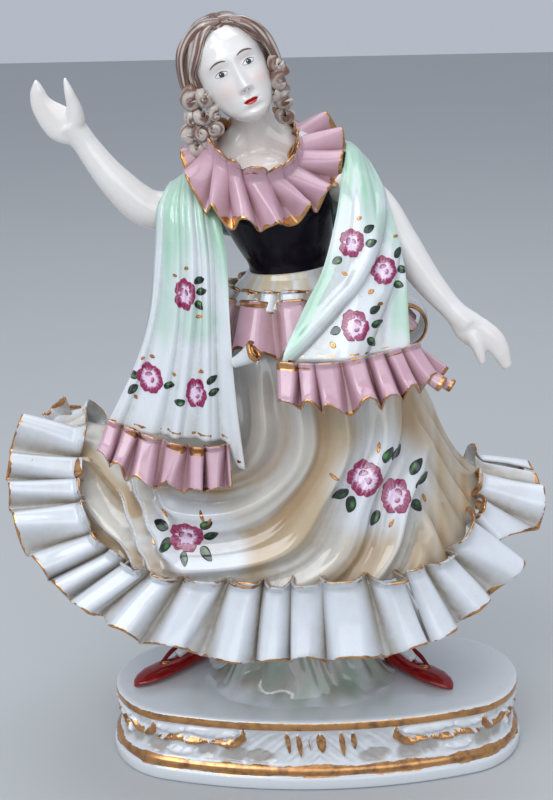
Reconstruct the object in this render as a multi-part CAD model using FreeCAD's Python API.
"""Porcelain dancer figurine, built as the clay pieces that a potter casts, cuts and joins with slip.

A dancer in a black bodice swings a wide skirt above an oval plinth. Her right arm is raised and her left arm is
held low; a shawl lies across her back and its two ends hang forward over her arms. Every ruffle is a strip of
thin clay, pleated by hand and stuck on. Nothing moves: the pieces meet face to face and are fired as one.

Millimetres. +X is the figure's left, -Y is her front, +Z is up. The origin is the centre of the plinth's foot.
"""

import FreeCAD
import Part
import math
import os

V = FreeCAD.Vector

# ---------------------------------------------------------------- driving dimensions
PLINTH_HALF_LENGTH = 65.0
PLINTH_HALF_DEPTH = 30.0
PLINTH_END_RADIUS = 24.0
DECK_HEIGHT = 23.0
PLINTH_WALL = 4.0
PLINTH_FLOOR = 3.5
VENT_RADIUS = 3.0
VENT_OFFSET = 28.0

SKIRT_WALL = 2.4
STRIP_THICKNESS = 1.1
SHAWL_THICKNESS = 2.0
WAIST = V(-6.0, 0.0, 151.0)
HEAD_CENTRE = V(-20.5, -6.0, 209.5)
HEAD_TILT = 25.0  # degrees, the crown leaning to her right

RING_POINTS = 14


# ---------------------------------------------------------------- curves and solids
def spline(points):
    """A smooth open curve through the points."""
    curve = Part.BSplineCurve()
    curve.interpolate(points)
    return curve


def along(points, count):
    """count points spaced evenly along the smooth curve through the points."""
    return spline(points).discretize(Number=count)


def loop_along(points, count):
    """count points evenly round the smooth closed curve through the points, the first not repeated."""
    curve = Part.BSplineCurve()
    curve.interpolate(points, PeriodicFlag=True)
    return curve.discretize(Number=count + 1)[:-1]


def ring(points):
    """A closed smooth wire through the points, with even parameters so that rings loft cleanly."""
    curve = Part.BSplineCurve()
    steps = [float(i) for i in range(len(points) + 1)]
    curve.interpolate(Points=points, PeriodicFlag=True, Parameters=steps)
    return Part.Wire(curve.toShape())


def ellipse_points(centre, x_axis, y_axis, count=RING_POINTS):
    turn = 2 * math.pi / count
    return [centre + x_axis * math.cos(i * turn) + y_axis * math.sin(i * turn) for i in range(count)]


def outward(solid):
    """The solid with its faces pointing out."""
    if solid.Volume < 0:
        solid = solid.reversed()
    return solid


def tube(path, widths, depths=None, across=V(0, 1, 0), stations=9):
    """A limb: a loft of ellipses along a smooth path. widths lie in the plane of the path, depths along across."""
    depths = depths or widths
    spine = along(path, stations)
    last = len(spine) - 1
    rings = []
    for i, centre in enumerate(spine):
        tangent = (spine[min(i + 1, last)] - spine[max(i - 1, 0)]).normalize()
        side = tangent.cross(across).normalize()
        depth_axis = side.cross(tangent).normalize()
        share = i / last
        rings.append(ring(ellipse_points(centre, side * blend(widths, share), depth_axis * blend(depths, share))))
    return outward(Part.makeLoft(rings, True, False))


def blend(values, share):
    """The value at a share of the way along a list, by straight lines."""
    at = share * (len(values) - 1)
    low = min(int(at), len(values) - 2)
    return values[low] + (values[low + 1] - values[low]) * (at - low)


def ellipsoid(centre, radii, tilt=0.0):
    """An ellipsoid whose long axis leans by tilt degrees about Y."""
    ball = Part.makeSphere(1.0)
    matrix = FreeCAD.Matrix()
    matrix.scale(radii[0], radii[1], radii[2])
    shape = ball.transformGeometry(matrix)
    shape.rotate(V(0, 0, 0), V(0, 1, 0), -tilt)
    shape.translate(centre)
    return shape


def sewn(faces):
    """One solid from faces that share their edges."""
    shell = Part.makeShell(faces)
    shell.sewShape()
    return outward(Part.makeSolid(shell))


def grid_normals(grid):
    """A unit normal at each point of a grid of rows."""
    rows, columns = len(grid), len(grid[0])
    normals = []
    for j in range(rows):
        line = []
        for i in range(columns):
            along_row = grid[j][min(i + 1, columns - 1)] - grid[j][max(i - 1, 0)]
            down = grid[min(j + 1, rows - 1)][i] - grid[max(j - 1, 0)][i]
            line.append(along_row.cross(down).normalize())
        normals.append(line)
    return normals


def strand(points):
    """An open smooth edge through the points, with even parameters so that strands loft cleanly."""
    curve = Part.BSplineCurve()
    curve.interpolate(Points=points, Parameters=[float(i) for i in range(len(points))])
    return curve.toShape()


def surface(grid):
    """The smooth face lofted through a grid's rows."""
    return Part.makeLoft([Part.Wire(strand(row)) for row in grid], False, False).Faces[0]


def eased(normals, reach=2):
    """Each normal averaged along its row, so that a copy set back along them keeps clear of itself in a tight fold."""
    rows = []
    for row in normals:
        line = []
        for i in range(len(row)):
            near = row[max(i - reach, 0):i + reach + 1]
            line.append(sum(near[1:], near[0]).normalize())
        rows.append(line)
    return rows


def sheet(grid, thickness):
    """A sheet of clay: the grid's smooth surface and a copy behind it, closed round the edge."""
    normals = eased(grid_normals(grid))
    back = [[p - n * thickness for p, n in zip(row, line)] for row, line in zip(grid, normals)]
    front_face, back_face = surface(grid), surface(back)
    rims = [Part.makeRuledSurface(a, b, 1) for a, b in zip(front_face.Edges, back_face.Edges)]
    return sewn([front_face, back_face] + rims)


def pleat(phase):
    """The cross-section of a row of box pleats: broad flat fronts between narrower valleys."""
    return math.tanh(1.8 * (math.sin(phase) + 0.25))


def ruffle(seam, hem, pleats, depth, header=0.16, flare=1.0, per_pleat=10):
    """A pleated strip that hangs from a seam line to a hem line, with a free header above the seam."""
    count = pleats * per_pleat + 1
    top, bottom = along(seam, count), along(hem, count)
    levels = ((-header, 0.6), (0.0, 0.55), (0.3, 0.7), (0.65, 0.85), (1.0, flare))
    rows = []
    for level, swing in levels:
        row = []
        for i in range(count):
            before, after = max(i - 1, 0), min(i + 1, count - 1)
            fall = bottom[i] - top[i]
            face = fall.cross(bottom[after] - bottom[before]).normalize()
            wave = pleat(2 * math.pi * i / per_pleat)
            rise = depth * (swing * wave + 0.4 * (1 - max(level, 0)))
            lift = 0.35 * depth * wave * max(level, 0) ** 2 / fall.Length
            row.append(top[i] + fall * (level - lift) + face * rise)
        rows.append(row)
    return sheet(rows, STRIP_THICKNESS)


# ---------------------------------------------------------------- plinth
def oval(inset, z):
    """The plinth's oval, four tangent arcs, moved in by inset."""
    end_centre = PLINTH_HALF_LENGTH - PLINTH_END_RADIUS
    drop = PLINTH_HALF_DEPTH - PLINTH_END_RADIUS
    side_radius = (end_centre ** 2 + PLINTH_HALF_DEPTH ** 2 - PLINTH_END_RADIUS ** 2) / (2 * drop)
    side_centre = side_radius - PLINTH_HALF_DEPTH
    reach = math.hypot(end_centre, side_centre)
    joint = V(end_centre * side_radius / reach, -side_centre * side_radius / reach + side_centre, 0)
    shrink = (side_radius - inset) / side_radius
    jx, jy = joint.x * shrink, side_centre + (joint.y - side_centre) * shrink
    half_length, half_depth = PLINTH_HALF_LENGTH - inset, PLINTH_HALF_DEPTH - inset
    arcs = [
        Part.Arc(V(-jx, jy, z), V(0, -half_depth, z), V(jx, jy, z)),
        Part.Arc(V(jx, jy, z), V(half_length, 0, z), V(jx, -jy, z)),
        Part.Arc(V(jx, -jy, z), V(0, half_depth, z), V(-jx, -jy, z)),
        Part.Arc(V(-jx, -jy, z), V(-half_length, 0, z), V(-jx, jy, z)),
    ]
    return Part.Wire([arc.toShape() for arc in arcs])


def plinth_body():
    """Hollow cast plinth: foot band, waisted band with moulded lobes, projecting rim and a low crowned deck."""
    profile = (
        (1.0, 0.0), (0.0, 1.0), (0.0, 4.0), (0.9, 4.8), (0.9, 7.2), (2.6, 8.2), (3.6, 12.0), (3.4, 16.0),
        (2.4, 19.6), (1.6, 20.4), (1.6, 22.0), (2.6, 22.8),
    )
    outside = Part.makeLoft([oval(inset, z) for inset, z in profile], True, True)
    deck_levels = ((2.6, 22.8), (8.0, DECK_HEIGHT), (16.0, DECK_HEIGHT + 0.4))
    deck = Part.makeLoft([oval(inset, z) for inset, z in deck_levels], True, True)
    hollow_levels = ((PLINTH_WALL + 3.0, PLINTH_FLOOR), (PLINTH_WALL + 3.0, DECK_HEIGHT - PLINTH_WALL))
    hollow = Part.makeLoft([oval(inset, z) for inset, z in hollow_levels], True, True)
    body = outside.fuse(deck)
    for lobe in cartouche_lobes():
        body = body.fuse(lobe)
    vent = Part.makeCylinder(VENT_RADIUS, 2 * PLINTH_FLOOR, V(VENT_OFFSET, 0, -1.0), V(0, 0, 1))
    return body.cut(hollow).cut(vent).removeSplitter()


def cartouche_lobes():
    """Upright moulded lobes at the middle of the front and back, and shell lobes on each side of them."""
    lobes = []
    places = [(x, 1.5, 5.2) for x in (-14.0, -7.0, 0.0, 7.0, 14.0)]
    places += [(x, 4.5, 2.6) for x in (-42.0, -30.0, 30.0, 42.0)]
    for x, half_width, half_height in places:
        side = 1 if abs(x) < 20 else 0.82
        for face in (-1, 1):
            y = face * side * (PLINTH_HALF_DEPTH - 3.8)
            lobes.append(ellipsoid(V(x, y, 13.6), (half_width, 2.0, half_height)))
    return lobes


def support_mound():
    """Grassy mound and post that carries the skirt from inside."""
    levels = (
        (DECK_HEIGHT + 0.4, -4.0, 25.0, 13.0),
        (32.0, -4.5, 21.5, 12.0),
        (46.0, -5.0, 16.5, 10.5),
        (66.0, -6.0, 12.5, 9.5),
        (92.0, -5.0, 10.5, 9.0),
        (112.0, -5.0, 10.0, 8.5),
    )
    rings = []
    for z, x, half_width, half_depth in levels:
        points = []
        for i in range(30):
            angle = 2 * math.pi * i / 30
            swell = 1 + 0.07 * math.cos(5 * angle)
            points.append(V(x + half_width * swell * math.cos(angle), 3 + half_depth * swell * math.sin(angle), z))
        rings.append(ring(points))
    return outward(Part.makeLoft(rings, True, False))


# ---------------------------------------------------------------- legs
def leg(ankle, knee):
    path = [ankle + V(0, 0, -3.5), ankle, ankle + (knee - ankle) * 0.5, knee]
    return tube(path, [3.6, 2.9, 3.8, 5.4, 6.0], across=V(0, 1, 0))


def shoe(heel, toe):
    """A low pointed slipper lying from heel to toe on the deck."""
    sole = DECK_HEIGHT + 0.4
    run = toe - heel
    ahead, side = run.normalize(), run.normalize().cross(V(0, 0, 1))
    length = (toe - heel).Length
    stations = ((0.0, 1.6, 3.4), (0.1, 3.3, 6.2), (0.3, 3.5, 6.4), (0.6, 4.1, 4.8), (0.85, 2.9, 3.2), (1.0, 0.7, 1.2))
    rings = []
    for share, half_width, height in stations:
        centre = heel + ahead * (length * share) + V(0, 0, height / 2)
        centre.z = sole + height / 2
        rings.append(ring(ellipse_points(centre, side * half_width, V(0, 0, height / 2))))
    return outward(Part.makeLoft(rings, True, False))


# ---------------------------------------------------------------- skirt
# The line where the flounce is stuck to the skirt, and the flounce's free hem, station by station round the skirt
# from her right side across the front. Both wings fly up.
SEAM = [
    V(-70.2, 4, 107.5), V(-68.5, -8, 91), V(-63, -17, 81), V(-53, -24, 74.8), V(-38, -29.5, 71.8), V(-22, -32, 71.6),
    V(-5, -33, 72.3), V(12, -32, 72.3), V(25, -28, 73), V(35, -22, 77.5), V(43, -13, 85.5), V(49, -1, 94.6),
    V(43, 13, 90), V(30, 24, 82), V(13, 30.5, 77), V(-6, 32.5, 75.5), V(-26, 31, 77), V(-44, 26.5, 83),
    V(-59, 19.5, 94), V(-68, 12, 106),
]
HEM = [
    V(-82.5, 4, 117), V(-88.5, -9, 98), V(-84.5, -20, 77.5), V(-70, -30, 64.5), V(-50, -36, 56), V(-25, -38.8, 50.5),
    V(-5, -39.5, 50.2), V(16, -38, 50.2), V(34, -32.5, 54), V(49, -25, 62), V(62, -14, 67), V(68, -2, 86),
    V(60, 15, 76), V(42, 28, 63), V(18, 36.5, 56), V(-6, 38.5, 54), V(-32, 37, 56), V(-56, 32, 64),
    V(-74, 25, 79), V(-84, 14, 100),
]
STRIPS = {  # node: (first station, last station, pleats)
    "flounce_right_wing": (0, 3, 5),
    "flounce_front": (3, 8, 8),
    "flounce_left_wing": (8, 11, 5),
    "flounce_back": (11, 20, 15),
}
FLOUNCE_STANDOFF = 1.2
SKIRT_COLUMNS = 60
SKIRT_FOLDS = 10


def skirt_level(share):
    """One ring of the skirt's outside, from the waist at 0 to the seam at 1."""
    points = []
    for i, foot in enumerate(loop_along(SEAM, SKIRT_COLUMNS)):
        angle = math.atan2(foot.y / 0.62, foot.x - WAIST.x)
        waist = WAIST + V(13.0 * math.cos(angle), 11.0 * math.sin(angle), 0)
        hip = V(-3 + 29.0 * math.cos(angle), 21.0 * math.sin(angle), 128.0)
        sag = 0.22 * (foot.z - 72.0)
        middle = hip + (foot - hip) * 0.55 - V(0, 0, sag)
        point = bezier_through(waist, hip, middle, foot, share)
        fold = 2.4 * share * (1 - 0.35 * share) * math.cos(SKIRT_FOLDS * 2 * math.pi * i / SKIRT_COLUMNS - 3.2 * share)
        outwards = V(math.cos(angle), math.sin(angle), 0)
        points.append(point + outwards * fold)
    return points


def bezier_through(a, b, c, d, share):
    """A smooth curve that passes a, b, c and d at shares 0, 0.28, 0.66 and 1."""
    knots = (0.0, 0.28, 0.66, 1.0)
    total = V(0, 0, 0)
    for i, point in enumerate((a, b, c, d)):
        weight = 1.0
        for j, knot in enumerate(knots):
            if j != i:
                weight *= (share - knot) / (knots[i] - knot)
        total += point * weight
    return total


def closed_band(levels):
    """The face lofted through closed rings of points."""
    return Part.makeLoft([ring(points) for points in levels], False, False).Faces[0]


def moved_in(levels, thickness):
    """The rings moved in along the surface's normals."""
    count = len(levels[0])
    inner = []
    for j, row in enumerate(levels):
        line = []
        for i, point in enumerate(row):
            along_row = row[(i + 1) % count] - row[i - 1]
            down = levels[min(j + 1, len(levels) - 1)][i] - levels[max(j - 1, 0)][i]
            line.append(point + along_row.cross(down).normalize() * thickness)
        inner.append(line)
    return inner


def skirt():
    """The cast bell of the skirt, closed at the waist, with swinging folds and two raised wings."""
    levels = [skirt_level(share) for share in (0.0, 0.1, 0.22, 0.36, 0.5, 0.64, 0.78, 0.9, 1.0)]
    inner = moved_in(levels, SKIRT_WALL)[1:]
    inner[0] = [V(p.x, p.y, min(q.z for q in inner[0])) for p in inner[0]]
    outer_face, inner_face = closed_band(levels), closed_band(inner)
    waist_cap = Part.Face(ring(levels[0]))
    roof = Part.Face(ring(inner[0]))
    rim = Part.makeLoft([ring(levels[-1]), ring(inner[-1])], False, True).Faces[0]
    return sewn([outer_face, inner_face, waist_cap, roof, rim])


def flounce(first, last, pleats):
    """One length of the white flounce, cut from the seam and hem lines and stuck on outside the skirt's edge."""
    finer = 6
    seam = loop_along(SEAM, len(SEAM) * finer)
    hem = loop_along(HEM, len(HEM) * finer)
    seam = [p + (q - p).normalize() * FLOUNCE_STANDOFF for p, q in zip(seam, hem)]
    inset = 1 if last - first > 5 else 0
    stations = range(first * finer + inset, last * finer + 1 - inset)
    pick = [seam[s % len(seam)] for s in stations], [hem[s % len(hem)] for s in stations]
    return ruffle(pick[0], pick[1], pleats, 2.8)


# ---------------------------------------------------------------- body
def torso():
    """The cast bodice, from the waist to the shoulders, leaning to her right."""
    levels = (
        (153.0, -6.2, 0.0, 11.7, 9.7), (157.0, -6.5, -0.2, 11.4, 9.6), (163.0, -8.0, -1.2, 13.8, 11.2),
        (171.0, -10.0, -2.4, 16.0, 12.6), (177.0, -11.5, -2.0, 16.8, 11.4), (182.0, -12.5, -0.8, 15.6, 8.4),
        (185.5, -13.4, 0.0, 11.0, 6.6),
    )
    rings = [ring(ellipse_points(V(x, y, z), V(a, 0, 0.10 * a * (z - 153) / 32), V(0, b, 0)))
             for z, x, y, a, b in levels]
    return outward(Part.makeLoft(rings, True, False))


def head():
    """Head, neck and shoulder yoke, cast together; the joint with the torso hides under the collar."""
    skull = ellipsoid(HEAD_CENTRE + V(-1.5, 2.0, 2.8), (10.4, 11.4, 11.6), HEAD_TILT)
    jaw = ellipsoid(HEAD_CENTRE + V(1.2, -2.2, -3.4), (7.9, 8.6, 10.6), HEAD_TILT)
    nose = ellipsoid(HEAD_CENTRE + V(0.6, -10.4, -2.4), (1.2, 1.7, 2.5), HEAD_TILT)
    neck = tube([V(-13.8, 1.5, 183.5), V(-14.6, 1.0, 191), V(-16.5, 0.0, 199), V(-19, -1.0, 206)], [8.2, 6.2, 5.9, 6.4])
    yoke = ellipsoid(V(-13.2, -0.5, 182.0), (14.2, 9.6, 4.6), 6)
    return skull.fuse(jaw).fuse(nose).fuse(neck).fuse(yoke)


def hair(face):
    """Waved hair over the crown and sides, cut open at the face."""
    cap = ellipsoid(HEAD_CENTRE + V(-1.8, 3.2, 3.2), (12.9, 12.6, 12.8), HEAD_TILT)
    opening = ellipsoid(HEAD_CENTRE + V(1.8, -12.5, -3.5), (9.6, 12.0, 14.0), HEAD_TILT)
    below = Part.makeBox(60, 60, 30, HEAD_CENTRE + V(-30, -30, -38))
    body = cap.cut(opening).cut(below)
    for path, widths in SIDE_ROLLS:
        body = body.fuse(tube(path, widths, stations=9))
    return body.cut(face)


SIDE_ROLLS = (
    ([V(-27.0, -9, 222.0), V(-33.2, -7, 216), V(-34.0, -5, 209), V(-31.0, -4, 202.5)], [2.2, 3.2, 3.4, 3.0, 1.6]),
    ([V(-15.5, -11, 221.5), V(-9.8, -9, 216), V(-7.6, -7, 209), V(-8.0, -6, 202.0)], [2.2, 3.2, 3.4, 3.0, 1.6]),
)


def ringlets(places):
    """A bunch of hanging curls, each a rounded tapering tube."""
    curls = []
    for top, bottom, radius in places:
        middle = (top + bottom) * 0.5 + V(0, -0.8, 0)
        curls.append(tube([top, middle, bottom], [radius * k for k in (0.6, 1.0, 0.8, 1.0, 0.7, 0.35)], stations=11))
    whole = curls[0]
    for curl in curls[1:]:
        whole = whole.fuse(curl)
    return whole


RIGHT_CURLS = [
    (V(-33.0, -4, 207), V(-29.6, -5, 195), 2.8),
    (V(-29.5, -6, 199), V(-27.5, -6, 189), 2.4),
    (V(-31.0, 0, 200), V(-31.5, -2, 188.5), 2.6),
]
LEFT_CURLS = [
    (V(-8.5, -6, 213), V(-6.4, -6, 205.5), 2.3),
    (V(-7.0, -5, 208), V(-5.2, -5, 198), 2.6),
]


# ---------------------------------------------------------------- arms
RIGHT_WRIST = V(-62.8, -8, 194.2)
LEFT_WRIST = V(40.2, -10, 142.6)


def right_arm():
    path = [V(-22, -0.5, 178.0), V(-33, -2.5, 174.6), V(-44.5, -5, 173.8), V(-54, -7, 182), RIGHT_WRIST]
    return tube(path, [5.6, 5.2, 5.0, 5.6, 5.2, 4.2, 3.5], stations=13)


def left_arm():
    path = [V(7, -1, 180.0), V(18, -3, 172.5), V(25, -6, 162), V(32.0, -8, 152), LEFT_WRIST]
    return tube(path, [5.6, 5.4, 5.2, 5.0, 4.9, 4.3, 3.5], stations=13)


def hand(path, widths, depths, thumb_path, across):
    """A palm with the fingers held together, and a thumb."""
    palm = tube(path, widths, depths, across, stations=11)
    thumb = tube(thumb_path, [1.6, 2.2, 1.9, 1.6, 0.8], None, across, stations=7)
    return palm.fuse(thumb)


def right_hand():
    path = [RIGHT_WRIST, V(-66.5, -9, 198.5), V(-70.8, -9.5, 203.5), V(-73.4, -9.5, 210.6)]
    thumb = [V(-64.6, -8.5, 197), V(-64.6, -9.5, 202), V(-66.0, -10.5, 206), V(-66.4, -11, 211.2)]
    return hand(path, [3.5, 4.9, 5.7, 4.7, 3.6, 1.7], [3.4, 3.1, 2.5, 2.2, 1.9, 1.1], thumb, V(0, 1, 0))


def left_hand():
    path = [LEFT_WRIST, V(45, -10.5, 137.8), V(50.6, -11, 134.4), V(54.6, -11.5, 127.6)]
    thumb = [V(43.4, -11, 138.5), V(46.2, -12.5, 133.5), V(47.0, -13, 128.8)]
    return hand(path, [3.5, 4.6, 4.9, 3.4, 2.6, 1.3], [3.4, 3.0, 2.5, 2.2, 1.9, 1.1], thumb, V(0, 1, 0))


# ---------------------------------------------------------------- shawl
def drape(left_edge, right_edge, folds, depth, bulge, columns=29, rows=9):
    """A hanging end of the shawl between two edges, with long folds that open towards the hem."""
    left, right = along(left_edge, rows), along(right_edge, rows)
    grid = []
    for j, (a, b) in enumerate(zip(left, right)):
        share = j / (rows - 1)
        row = []
        for i in range(columns):
            u = i / (columns - 1)
            wave = depth * (0.45 + 0.55 * share) * math.cos(2 * math.pi * folds * u)
            row.append(a + (b - a) * u + V(0, -bulge * math.sin(math.pi * u) - wave, 0))
        grid.append(row)
    return sheet(grid, SHAWL_THICKNESS)


RIGHT_EDGES = (
    [V(-40.5, 0, 181.5), V(-42.2, -10.5, 174), V(-45.5, -15, 155), V(-51, -19, 133), V(-58.2, -23, 115)],
    [V(-29.5, 0, 182.0), V(-28.6, -11.5, 174.5), V(-25.5, -18, 155), V(-23.5, -22.5, 130), V(-20.8, -26.5, 104)],
)
LEFT_EDGES = (
    [V(10.5, 2, 188.5), V(7.0, -13, 178), V(6.0, -19, 165), V(1.0, -24, 147), V(-8.6, -27.5, 131.5)],
    [V(19.5, 2, 184.0), V(21.5, -10, 174), V(24.2, -15.5, 162), V(26.2, -20, 148), V(27.0, -24.5, 135.5)],
)


def shawl_back():
    """The part of the shawl that lies across her back, from one arm to the other."""
    upper = [V(-39.0, 3, 184), V(-30, 9.5, 186), V(-13, 13.5, 186.5), V(5, 10.5, 189), V(17.5, 4, 190)]
    lower = [V(-42.5, 2.5, 174), V(-31, 11, 166), V(-11, 16.0, 160), V(12, 12.5, 165), V(24.0, 3.5, 172)]
    top, bottom = along(upper, 25), along(lower, 25)
    grid = []
    for j in range(6):
        share = j / 5
        row = [a + (b - a) * share + V(0, 1.6 * math.sin(math.pi * share), 0) for a, b in zip(top, bottom)]
        grid.append([p + V(0, 0.5 * math.cos(2 * math.pi * (share * 2.5)), 0) for p in row])
    return sheet(grid[::-1], SHAWL_THICKNESS)


# ---------------------------------------------------------------- ruffles
def hoop(centre, half_width, half_depth, tilt, start, sweep, count=13):
    """Points round a tilted ellipse, from start through sweep degrees; 0 is +X and 270 is the front."""
    points = []
    for i in range(count):
        angle = math.radians(start + sweep * i / (count - 1))
        x, y = half_width * math.cos(angle), half_depth * math.sin(angle)
        points.append(centre + V(x, y, x * math.tan(math.radians(tilt))))
    return points


def collar():
    """The collar hangs on the chest, lies flat on the shoulders and stands up behind the neck, higher on her left."""
    seam = [V(-12.5, 9.0, 193.5), V(-21, 6.0, 191.2), V(-25.8, -2.0, 187.8), V(-23, -9.5, 182.0), V(-14.6, -13, 179.2),
            V(-5.0, -9.8, 182.6), V(0.8, -2.5, 189.0), V(-2.0, 6.0, 194.0), V(-11.5, 9.1, 193.8)]
    hem = [V(-12.6, 15, 195), V(-26, 10.5, 190.5), V(-33.8, -2.0, 184.6), V(-28.8, -15, 174.4), V(-14.4, -20.5, 169.4),
           V(1.6, -16, 175.4), V(9.8, -3.0, 186.8), V(5.4, 10.0, 196.6), V(-10.2, 15.2, 195.8)]
    return ruffle(seam, hem, 14, 1.7, header=0.22)


def hip_ruffle():
    seam = hoop(V(-4.0, 0.5, 148.2), 24.0, 17.5, 3, 95, 350)
    hem = hoop(V(-1.5, -0.3, 136.6), 32.5, 22.5, 3, 95, 350)
    return ruffle(seam, hem, 13, 2.0, header=0.14)


def waistband():
    """The turned band between the bodice and the hip ruffle."""
    rings = [ring(ellipse_points(V(x, 0, z), V(a, 0, 0), V(0, b, 0)))
             for z, x, a, b in ((147.0, -5.0, 20.5, 16.6), (151.0, -5.4, 18.0, 14.6), (154.0, -6.0, 14.0, 12.0))]
    return outward(Part.makeLoft(rings, True, False))


def shawl_ruffles():
    """The pink pleated hems of the two shawl ends, by node."""
    right_seam = [V(-58.4, -25.5, 113.6), V(-47, -29.5, 109.3), V(-35, -30.5, 107), V(-24.4, -29.5, 106.6)]
    right_hem = [V(-60.6, -29.5, 104.5), V(-49, -33.5, 98), V(-36, -34.2, 94.5), V(-24.0, -33.0, 94.2)]
    left_seam = [V(-8.8, -29.5, 130.4), V(3, -32.0, 131.5), V(15, -31.0, 133.6), V(27.3, -27.0, 135.2)]
    left_hem = [V(-10.2, -33.5, 119.2), V(4, -36.0, 118), V(19, -35.5, 120), V(33.5, -30.0, 125)]
    return {
        "right_shawl_ruffle": ruffle(right_seam, right_hem, 7, 1.3, header=0.12),
        "left_shawl_ruffle": ruffle(left_seam, left_hem, 8, 1.3, header=0.12),
    }


def sash_roll():
    """The rolled end of the sash that shows under the hip ruffle, left of the middle."""
    start, end = V(-21.7, -27.0, 141.5), V(-15.7, -27.6, 134.1)
    axis = end - start
    outer = Part.makeCylinder(3.0, axis.Length, start, axis)
    return outer.cut(Part.makeCylinder(1.9, axis.Length, start, axis))


# ---------------------------------------------------------------- assembly
CUTS = {  # each piece is trimmed where it meets the pieces listed after it
    "right_leg": ("right_shoe", "support_mound"),
    "left_leg": ("left_shoe", "support_mound"),
    "support_mound": ("left_shoe", "right_shoe"),
    "waistband": ("skirt",),
    "torso": ("head", "waistband", "skirt"),
    "hair": ("head",),
    "right_ringlets": ("hair", "head"),
    "left_ringlets": ("hair", "head"),
    "right_arm": ("torso", "head"),
    "left_arm": ("torso", "head"),
    "right_hand": ("right_arm",),
    "left_hand": ("left_arm",),
    "right_shawl_end": ("right_arm",),
    "left_shawl_end": ("left_arm",),
    "collar_ruffle": ("head", "torso", "right_arm", "left_arm", "right_shawl_end", "left_shawl_end"),
    "shawl_back": ("torso", "right_arm", "left_arm", "right_shawl_end", "left_shawl_end", "collar_ruffle"),
    "flounce_right_wing": ("skirt",),
    "flounce_front": ("skirt", "flounce_right_wing"),
    "flounce_left_wing": ("skirt", "flounce_front"),
    "flounce_back": ("skirt", "flounce_left_wing", "flounce_right_wing"),
    "hip_ruffle": ("waistband", "skirt"),
    "sash_roll": ("hip_ruffle", "skirt"),
    "right_shawl_ruffle": ("right_shawl_end",),
    "left_shawl_ruffle": ("left_shawl_end",),
}


def main_solid(shape):
    """The largest solid of a shape, without the crumbs that trimming leaves."""
    return max(shape.Solids, key=lambda solid: solid.Volume)


def build():
    nodes = {"plinth": plinth_body(), "support_mound": support_mound()}
    nodes["right_shoe"] = shoe(V(-34.5, 10.5, 0), V(-57.0, -7.0, 0))
    nodes["left_shoe"] = shoe(V(22.5, 4.5, 0), V(41.5, -12.5, 0))
    nodes["right_leg"] = leg(V(-37.0, 8.4, 31.5), V(-16.0, 4.0, 74))
    nodes["left_leg"] = leg(V(25.2, 2.2, 31.5), V(4.0, 3.0, 74))
    nodes["skirt"] = skirt()
    for node, (first, last, pleats) in STRIPS.items():
        nodes[node] = flounce(first, last, pleats)
    nodes["waistband"] = waistband()
    nodes["hip_ruffle"] = hip_ruffle()
    nodes["sash_roll"] = sash_roll()
    nodes["torso"] = torso()
    nodes["head"] = head()
    nodes["hair"] = hair(nodes["head"])
    nodes["right_ringlets"] = ringlets(RIGHT_CURLS)
    nodes["left_ringlets"] = ringlets(LEFT_CURLS)
    nodes["collar_ruffle"] = collar()
    nodes["right_arm"] = right_arm()
    nodes["left_arm"] = left_arm()
    nodes["right_hand"] = right_hand()
    nodes["left_hand"] = left_hand()
    nodes["right_shawl_end"] = drape(*RIGHT_EDGES, folds=4, depth=1.0, bulge=3.5)
    nodes["left_shawl_end"] = drape(*LEFT_EDGES, folds=2, depth=1.2, bulge=4.0)
    nodes["shawl_back"] = shawl_back()
    nodes.update(shawl_ruffles())
    for node, tools in CUTS.items():
        for tool in tools:
            trimmed = main_solid(nodes[node].cut(nodes[tool]))
            if trimmed.isValid() and trimmed.Volume > 0:
                nodes[node] = trimmed
            else:
                print("untrimmed:", node, "by", tool)
    return nodes


def main():
    os.makedirs("parts", exist_ok=True)
    for name, shape in build().items():
        shape.exportStep("parts/" + name + ".step")
        print("%-20s solids %d valid %s volume %8.0f" % (name, len(shape.Solids), shape.isValid(), shape.Volume))


main()
